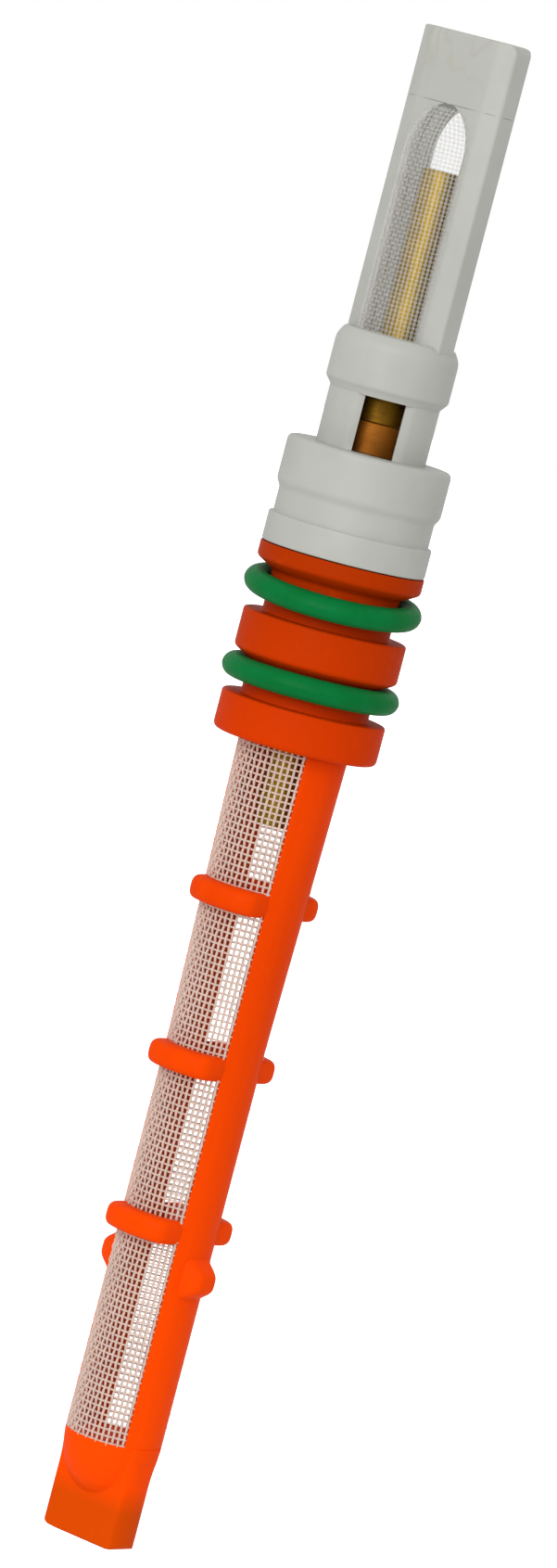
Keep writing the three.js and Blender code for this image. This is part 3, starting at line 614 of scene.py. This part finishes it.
def outlet_neck():
    """The neck as a wall between two radii with openings left in it. Over each window panel the
    outer wall is flat: R = min(neck, panel distance / cos t)."""
    half_out = math.atan(PORT_HALF / PANEL_DISTANCE)
    half_in = math.asin(PORT_HALF / CHAMBER_R)
    steps = [np.linspace(-half_out, half_out, 13), np.linspace(half_out, math.pi - half_out, 49)[1:-1]]
    inner = [np.linspace(-half_in, half_in, 13), np.linspace(half_in, math.pi - half_in, 49)[1:-1]]
    out_angle = np.concatenate([*steps, *[s + math.pi for s in steps]])
    in_angle = np.concatenate([*inner, *[s + math.pi for s in inner]])
    z = np.concatenate([[-0.3, 0.0], np.linspace(0, PORT_TOP, 9)[1:], [PANEL_TOP - 0.02],
                        [PANEL_TOP + 0.02], [NECK_TOP + 0.2]])
    near = np.abs((out_angle + math.pi / 2) % math.pi - math.pi / 2)
    flat = np.minimum(PANEL_DISTANCE / np.cos(near), NECK_R)
    panel = (z[:, None] < PANEL_TOP) & (z[:, None] >= 0)
    radius = np.where(panel, flat[None], NECK_R)
    rows, columns = len(z), len(out_angle)
    outer = np.stack([radius * np.cos(out_angle + PORT_TURN), radius * np.sin(out_angle + PORT_TURN),
                      z[:, None] + 0 * radius], -1)
    bore = np.stack([CHAMBER_R * np.cos(in_angle + PORT_TURN) + 0 * radius,
                     CHAMBER_R * np.sin(in_angle + PORT_TURN) + 0 * radius,
                     z[:, None] + 0 * radius], -1)
    points = np.concatenate([outer.reshape(-1, 3), bore.reshape(-1, 3)])
    column = np.arange(columns)
    in_port = (column % (columns // 2)) < 12
    open_rows = (z[:-1] >= 0) & (z[1:] <= PORT_TOP + 1e-6)
    solid = ~(open_rows[:, None] & in_port[None])
    i, j = np.nonzero(solid)
    k = (j + 1) % columns
    shift = rows * columns
    front = np.stack([i * columns + j, i * columns + k, (i + 1) * columns + k, (i + 1) * columns + j], -1)
    back = front[:, ::-1] + shift
    walls = []
    below = np.vstack([np.zeros((1, columns), bool), solid])
    above = np.vstack([solid, np.zeros((1, columns), bool)])
    i, j = np.nonzero(above & ~below)
    k = (j + 1) % columns
    walls.append(np.stack([i * columns + k, i * columns + j, i * columns + j + shift,
                           i * columns + k + shift], -1))
    i, j = np.nonzero(below & ~above)
    k = (j + 1) % columns
    walls.append(np.stack([i * columns + j, i * columns + k, i * columns + k + shift,
                           i * columns + j + shift], -1))
    left = np.roll(solid, 1, axis=1)
    i, j = np.nonzero(solid & ~left)
    walls.append(np.stack([i * columns + j, (i + 1) * columns + j, (i + 1) * columns + j + shift,
                           i * columns + j + shift], -1))
    i, j = np.nonzero(left & ~solid)
    walls.append(np.stack([(i + 1) * columns + j, i * columns + j, i * columns + j + shift,
                           (i + 1) * columns + j + shift], -1))
    quads = np.concatenate([front, back, *walls])
    return outward(points, quads, np.empty((0, 3), int))


def outlet_neck_ring():
    """The ring above the neck, with the chamber's roof and the tube's hole."""
    profile = rounded([
        (CHAMBER_R, NECK_TOP - 0.3, 0), (NECK_R, NECK_TOP - 0.25, 0), (NECK_R, NECK_TOP - 0.2, 0),
        (NECK_RING_R, NECK_TOP + 0.25, 0.12), (NECK_RING_R, 6.1, 0.35), (NECK_R, NECK_RING_TOP, 0.15),
        (1.25, NECK_RING_TOP, 0), (1.25, CHAMBER_TOP, 0), (CHAMBER_R, CHAMBER_TOP, 0),
    ], 7, closed=True)
    return turned(profile, closed=True)


def bar_radius(t):
    """Polar radius of the bar's eight-sided section: a soft minimum over its sides,
    R = (sum (n . d / h)^p)^(-1/p)."""
    facet = math.atan2(BAR_EDGE[0] - BAR_FACE[0], BAR_FACE[1] - BAR_EDGE[1])
    facet_distance = BAR_EDGE[0] * math.cos(facet) + BAR_EDGE[1] * math.sin(facet)
    total = 0
    for angle, distance in ((0, BAR_EDGE[0]), (math.pi / 2, BAR_FACE[1]), (facet, facet_distance)):
        for turn in {angle, math.pi - angle, math.pi + angle, -angle}:
            total = total + (np.maximum(np.cos(t - turn), 0) / distance) ** 70
    return total ** (-1 / 70)


def outlet_bar_top():
    """The solid end of the bar above its screens, with one corner round and one nearly square."""
    t = np.linspace(0, 2 * math.pi, 240, endpoint=False)[None]
    z = np.concatenate([np.linspace(SLOT_TOP - 0.02, OUTLET_TOP - 0.7, 16),
                        OUTLET_TOP - 0.7 * np.cos(np.linspace(0, math.pi / 2, 28))[1:]])[:, None]
    radius = bar_radius(t)
    x, y = radius * np.cos(t) + 0 * z, radius * np.sin(t) + 0 * z
    soft = 0.16
    drop = np.clip(z - (OUTLET_TOP - soft), 0, soft)
    inset = soft - np.sqrt(soft**2 - drop**2)
    limits = []
    for corner in BAR_CORNERS:
        d = np.clip(z - (OUTLET_TOP - corner), 0, corner)
        limits.append(BAR_EDGE[0] - corner + np.sqrt(corner**2 - d**2) - 0.4 * inset)
    x = np.clip(x, -limits[0], limits[1])
    y = np.sign(y) * np.maximum(np.abs(y) - inset, 0)
    return loft(np.stack([x, y, z + 0 * x], -1))


def slot_half(z):
    """Half width of the slot through the bar: straight, then an ellipse that closes its top."""
    share = np.clip((z - SLOT_TURN) / (SLOT_TOP - SLOT_TURN), 0, 1)
    return SLOT_HALF * np.sqrt(1 - share**2)


def outlet_rail(side):
    """A side of the bar below its solid end: the bar's section outside, and inside the wall of
    an arch-topped slot, x = slot half width. The face runs in to the slot at y = face half."""
    half = math.atan2(BAR_FACE[1], BAR_FACE[0])
    arch = np.sin(np.linspace(0, math.pi / 2, 30)) * (SLOT_TOP - SLOT_TURN)
    z = np.concatenate([np.linspace(NECK_RING_TOP - 0.7, SLOT_TURN, 5)[:-1], SLOT_TURN + arch])
    z = z[:, None]
    inner = np.maximum(slot_half(z), 1e-3)
    reach = np.arctan2(BAR_FACE[1], inner)
    share = np.linspace(0, 1, 14)[None, 1:]
    above = half + (reach - half) * share
    middle = np.linspace(-half, half, 61)[None] + 0 * z
    angle = np.concatenate([-above[:, ::-1], middle, above], axis=1)
    radius = bar_radius(angle)
    x, y = radius * np.cos(angle), radius * np.sin(angle)
    back = np.linspace(1, -1, 9)[None, 1:-1]
    x = np.concatenate([x, inner + 0 * back], axis=1) * side
    y = np.concatenate([y, y[:, -1:] * back], axis=1)
    return loft(np.stack([x, y, z + 0 * x], -1))


def build_outlet_body(finish):
    shells = [outlet_base(), outlet_neck(), outlet_neck_ring(), outlet_bar_top()]
    shells += [outlet_rail(side) for side in (-1, 1)]
    return make_piece("outlet_moulding", shells, finish, ["outlet_body"])


# ---- woven screens ----
def threads(centre, normal, thick, sides=6):
    """Closed round threads along centre lines: centre (k, m, 3), with the cloth's normal there.
    Each ring is centre + r (n cos a + (t x n) sin a)."""
    along = np.gradient(centre, axis=1)
    along /= np.linalg.norm(along, axis=-1, keepdims=True)
    across = np.cross(along, normal)
    across /= np.linalg.norm(across, axis=-1, keepdims=True)
    up = np.cross(across, along)
    a = np.linspace(0, 2 * math.pi, sides, endpoint=False)
    rings = centre[:, :, None] + thick * (
        up[:, :, None] * np.cos(a)[:, None] + across[:, :, None] * np.sin(a)[:, None])
    k, m, n, _ = rings.shape
    points = rings.reshape(-1, 3)
    base = quads_of_grid(m, n)
    starts = (np.arange(k) * m * n)[:, None, None]
    quads = (base[None] + starts).reshape(-1, 4)
    j = np.arange(1, n - 1)
    fan = np.stack([0 * j, j + 1, j], -1)
    end = np.stack([0 * j, j, j + 1], -1) + (m - 1) * n
    triangles = (np.concatenate([fan, end])[None] + starts).reshape(-1, 3)
    return outward(points, quads, triangles)


def woven(surface, along, across, pitches, thick, wave):
    """Plain weave on surface(u, v). A lengthwise thread at u stands off by
    wave * sin(pi v / pitch) and turns sign on its neighbour; a crosswise one the other way.
    thick holds the radii of the lengthwise and the crosswise threads."""
    pitch_across, pitch_along = pitches
    per_crossing = 3
    shells = []
    u_lines = (np.arange(across) - (across - 1) / 2) * pitch_across
    v_lines = (np.arange(along) + 0.5) * pitch_along
    v = np.linspace(0, along * pitch_along, along * per_crossing + 1)
    u, vv = np.meshgrid(u_lines, v, indexing="ij")
    sign = np.where(np.arange(across) % 2 == 0, 1, -1)[:, None]
    point, normal = surface(u, vv)
    height = wave * sign * np.sin(math.pi * vv / pitch_along)
    shells.append(threads(point + normal * height[..., None], normal, thick[0]))
    half = across * pitch_across / 2
    u = np.linspace(-half, half, across * per_crossing + 1)
    vv, uu = np.meshgrid(v_lines, u, indexing="ij")
    sign = np.where(np.arange(along) % 2 == 0, -1, 1)[:, None]
    point, normal = surface(uu, vv)
    height = wave * sign * np.sin(math.pi * (uu + half) / pitch_across)
    shells.append(threads(point + normal * height[..., None], normal, thick[1]))
    return shells


def inlet_cloth(side):
    """Cage cloth: a strip of the tapered cage wall, (r sin t, -r cos t, z), slightly uneven."""
    depth = SCREEN_INSET + 0.07
    top = CAGE_TOP + 0.3

    def surface(u, v):
        z = top - v
        radius = cage_radius(z) - depth
        radius = radius + 0.015 * np.sin(1.3 * z + 2.1 * u + side) * np.sin(0.7 * z - 1.2 * u)
        t = u / 2.78 + 0.004 * np.sin(0.9 * z + side)
        normal = np.stack([np.sin(t), side * np.cos(t), 0 * t], -1)
        return normal * radius[..., None] + np.stack([0 * z, 0 * z, z], -1), normal

    rows = int((top - CAGE_LOW + 0.35) / CAGE_CLOTH["pitches"][1])
    return woven(surface, rows, **CAGE_CLOTH)


def outlet_screen_radius(z):
    """Radius of the bulging screen: straight, then an ellipse that closes into the bar."""
    share = np.clip((z - OUTLET_SCREEN_TURN) / (OUTLET_SCREEN_END - OUTLET_SCREEN_TURN), 0, 1)
    floor = BAR_FACE[1] / 2
    return floor + (OUTLET_SCREEN_R - floor) * np.sqrt(1 - share**2)


def outlet_cloth(side):
    """Bar cloth: a drum (a, sqrt(r^2 - a^2), z) with a crease between two lobes at its top."""
    low = NECK_RING_TOP - 0.1

    def surface(u, v):
        z = low + v
        t = u / 2.42
        a = 2.42 * np.sin(t)
        radius = outlet_screen_radius(z) - 0.13
        crumple = 0.045 * np.sin(4.1 * z + 5.3 * u) * np.sin(2.3 * z - 3.7 * u + 1.0)
        fade = blend_over(-u, -0.5, 1.0) * (1 - blend_over(np.abs(u), 1.9, 2.5))
        radius = radius + crumple * fade
        y = np.sqrt(np.maximum(radius**2 - a**2, 0.25))
        crease = (0.07 + 0.12 * blend_over(z, 17.0, 19.2)) * np.exp(-(((a + 0.3) / 0.3) ** 2))
        y = y - crease
        normal = np.stack([-side * np.sin(t), side * np.cos(t), 0 * t], -1)
        return np.stack([-side * a, side * y, z], -1), normal

    rows = int((OUTLET_SCREEN_END - low - 0.3) / BAR_CLOTH["pitches"][1])
    return woven(surface, rows, **BAR_CLOTH)


# ---- seals, tube and piston ----
def o_ring(low, high, lean=0.0):
    """A torus of the ring's section with a fine moulding line round its outside. It sits askew
    in its groove: each point drops by lean times its distance along LEAN_TO."""
    middle = (low[2] + high[2]) / 2
    section = RING_SECTION / 2
    t = np.linspace(0, 2 * math.pi, 48, endpoint=False)
    flash = 0.018 * np.exp(-((np.sin(t / 2) / 0.05) ** 2))
    radius = section - 0.02 + flash
    centre = high[0] - section
    profile = np.stack([centre + radius * np.cos(t), middle + radius * np.sin(t)], -1)
    points, quads, triangles = turned(profile, 160, closed=True)
    points[:, 2] -= lean * (points[:, :2] @ LEAN_TO)
    return points, quads, triangles


def tube():
    """Drawn tube with its ends slightly rounded."""
    low, high, outer = tube_low[2], tube_high[2], tube_high[0]
    profile = rounded([
        (TUBE_BORE_R, low, 0.1), (outer, low, 0.1), (outer, high, 0.1), (TUBE_BORE_R, high, 0.1),
    ], 6, closed=True)
    return turned(profile, 72, closed=True)


def piston():
    """Stepped piston: a wide head with a bevelled rim and a narrower stem."""
    low, high, wide = piston_low[2], piston_high[2], piston_high[0]
    profile = rounded([
        (PISTON_BORE_R, low, 0), (wide, low, 0.1), (wide, PISTON_STEP, 0.16),
        (PISTON_STEM_R, PISTON_STEP, 0.06), (PISTON_STEM_R, high, 0.15), (PISTON_BORE_R, high, 0),
    ], 6, closed=True)
    return turned(profile, 96, closed=True)


# ---- camera, floor and light ----
AIM = Vector((0, 0, -19.8 * MM))
AZIMUTH = math.radians(36)
ELEVATION = math.radians(5.9)
ROLL = math.radians(14.65)
DISTANCE = 387 * MM
LENS = 156.8
SHIFT = (-0.002365, 0.004435)
SKY_LIGHT = 0.79
SKY_SEEN = 1.0
FLOOR_GLOW = 0.9
KEY_PLACE = (0.166, -0.509, 0.175)
KEY_SIZE = 0.3
KEY_POWER = 1.66

camera_data = bpy.data.cameras.new("camera")
camera = bpy.data.objects.new("camera", camera_data)
bpy.context.scene.collection.objects.link(camera)
back = Vector((
    math.sin(AZIMUTH) * math.cos(ELEVATION),
    -math.cos(AZIMUTH) * math.cos(ELEVATION),
    math.sin(ELEVATION),
))
camera.location = AIM + back * DISTANCE
turn = (-back).to_track_quat("-Z", "Y").to_matrix() @ Matrix.Rotation(ROLL, 3, "Z")
camera.rotation_mode = "QUATERNION"
camera.rotation_quaternion = turn.to_quaternion()
camera_data.sensor_width = 36
camera_data.lens = LENS
camera_data.shift_x, camera_data.shift_y = SHIFT
camera_data.clip_start = 0.01
camera_data.clip_end = 50
bpy.context.scene.camera = camera


def pale_floor():
    """A plain pale sheet well below the part."""
    half, drop = 6.0, -0.35
    mesh = bpy.data.meshes.new("floor")
    corners = [(-half, -half, drop), (half, -half, drop), (half, half, drop), (-half, half, drop)]
    mesh.from_pydata(corners, [], [(0, 1, 2, 3)])
    mesh.update()
    f = Finish("pale_floor")
    grain = f.noise(3, 2)
    colour = f.mix(f.ramp(grain, 0.3, 0.7), (0.93, 0.93, 0.93), (0.9, 0.9, 0.9))
    rays = f.node("ShaderNodeLightPath")
    glow = f.maths("MULTIPLY", rays.outputs["Is Camera Ray"], FLOOR_GLOW)
    f.link(glow, f.shader.inputs["Emission Strength"])
    mesh.materials.append(f.finish(colour, 0.9, None, Emission_Color=(1, 1, 1, 1)))
    floor = bpy.data.objects.new("floor", mesh)
    bpy.context.scene.collection.objects.link(floor)


def soft_light(name, place, size, power):
    """A square area light aimed at the part's middle."""
    data = bpy.data.lights.new(name, "AREA")
    data.size = size
    data.energy = power
    lamp = bpy.data.objects.new(name, data)
    bpy.context.scene.collection.objects.link(lamp)
    lamp.location = place
    lamp.rotation_mode = "QUATERNION"
    lamp.rotation_quaternion = (AIM - Vector(place)).to_track_quat("-Z", "Y")


pale_floor()
world = bpy.data.worlds.new("studio")
world.use_nodes = True
world.node_tree.nodes["Background"].inputs["Color"].default_value = (1, 1, 1, 1)
studio = world.node_tree
rays = studio.nodes.new("ShaderNodeLightPath")
brightness = studio.nodes.new("ShaderNodeMapRange")
brightness.inputs["To Min"].default_value = SKY_LIGHT
brightness.inputs["To Max"].default_value = SKY_SEEN
studio.links.new(rays.outputs["Is Camera Ray"], brightness.inputs["Value"])
studio.links.new(brightness.outputs["Result"], studio.nodes["Background"].inputs["Strength"])
bpy.context.scene.world = world
bpy.context.scene.view_settings.view_transform = "Standard"
bpy.context.scene.view_settings.look = "None"
soft_light("key", KEY_PLACE, KEY_SIZE, KEY_POWER)

# ---- the part ----
orange = orange_nylon()
grey = grey_nylon()
# painted reflection: the cage cloth's pink-orange tint stands for orange light reflected from the cage
cage_cloth = woven_nylon("cage_woven_nylon", (0.82, 0.64, 0.55), 0.68)
bar_cloth = woven_nylon("bar_woven_nylon", (0.80, 0.79, 0.76), 0.16)
green = green_nitrile()
brass = drawn_brass()
bronze = brown_bronze()
washer = black_washer()
wire = spring_wire()

build_inlet_body(orange)
build_outlet_body(grey)
for side, place in ((-1, "front"), (1, "back")):
    make_piece("cage_cloth_" + place, inlet_cloth(side), cage_cloth,
               ["inlet_screen_" + place])
    make_piece("bar_cloth_" + place, outlet_cloth(side), bar_cloth,
               ["outlet_screen_" + place])
make_piece("upper_seal", [o_ring(upper_ring_low, upper_ring_high, UPPER_RING_LEAN)], green,
           ["o_ring_upper"])
make_piece("lower_seal", [o_ring(lower_ring_low, lower_ring_high)], green,
           ["o_ring_lower"])
make_piece("drawn_tube", [tube()], brass, ["metering_tube"])
make_piece("stepped_piston", [piston()], bronze, ["valve_piston"], "piston")

for node, finish in (("tube_ferrule", brass), ("valve_seat", brass), ("piston_seal", washer),
                     ("valve_spring", wire)):
    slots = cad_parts[node].material_slots
    for slot in slots:
        slot.material = finish
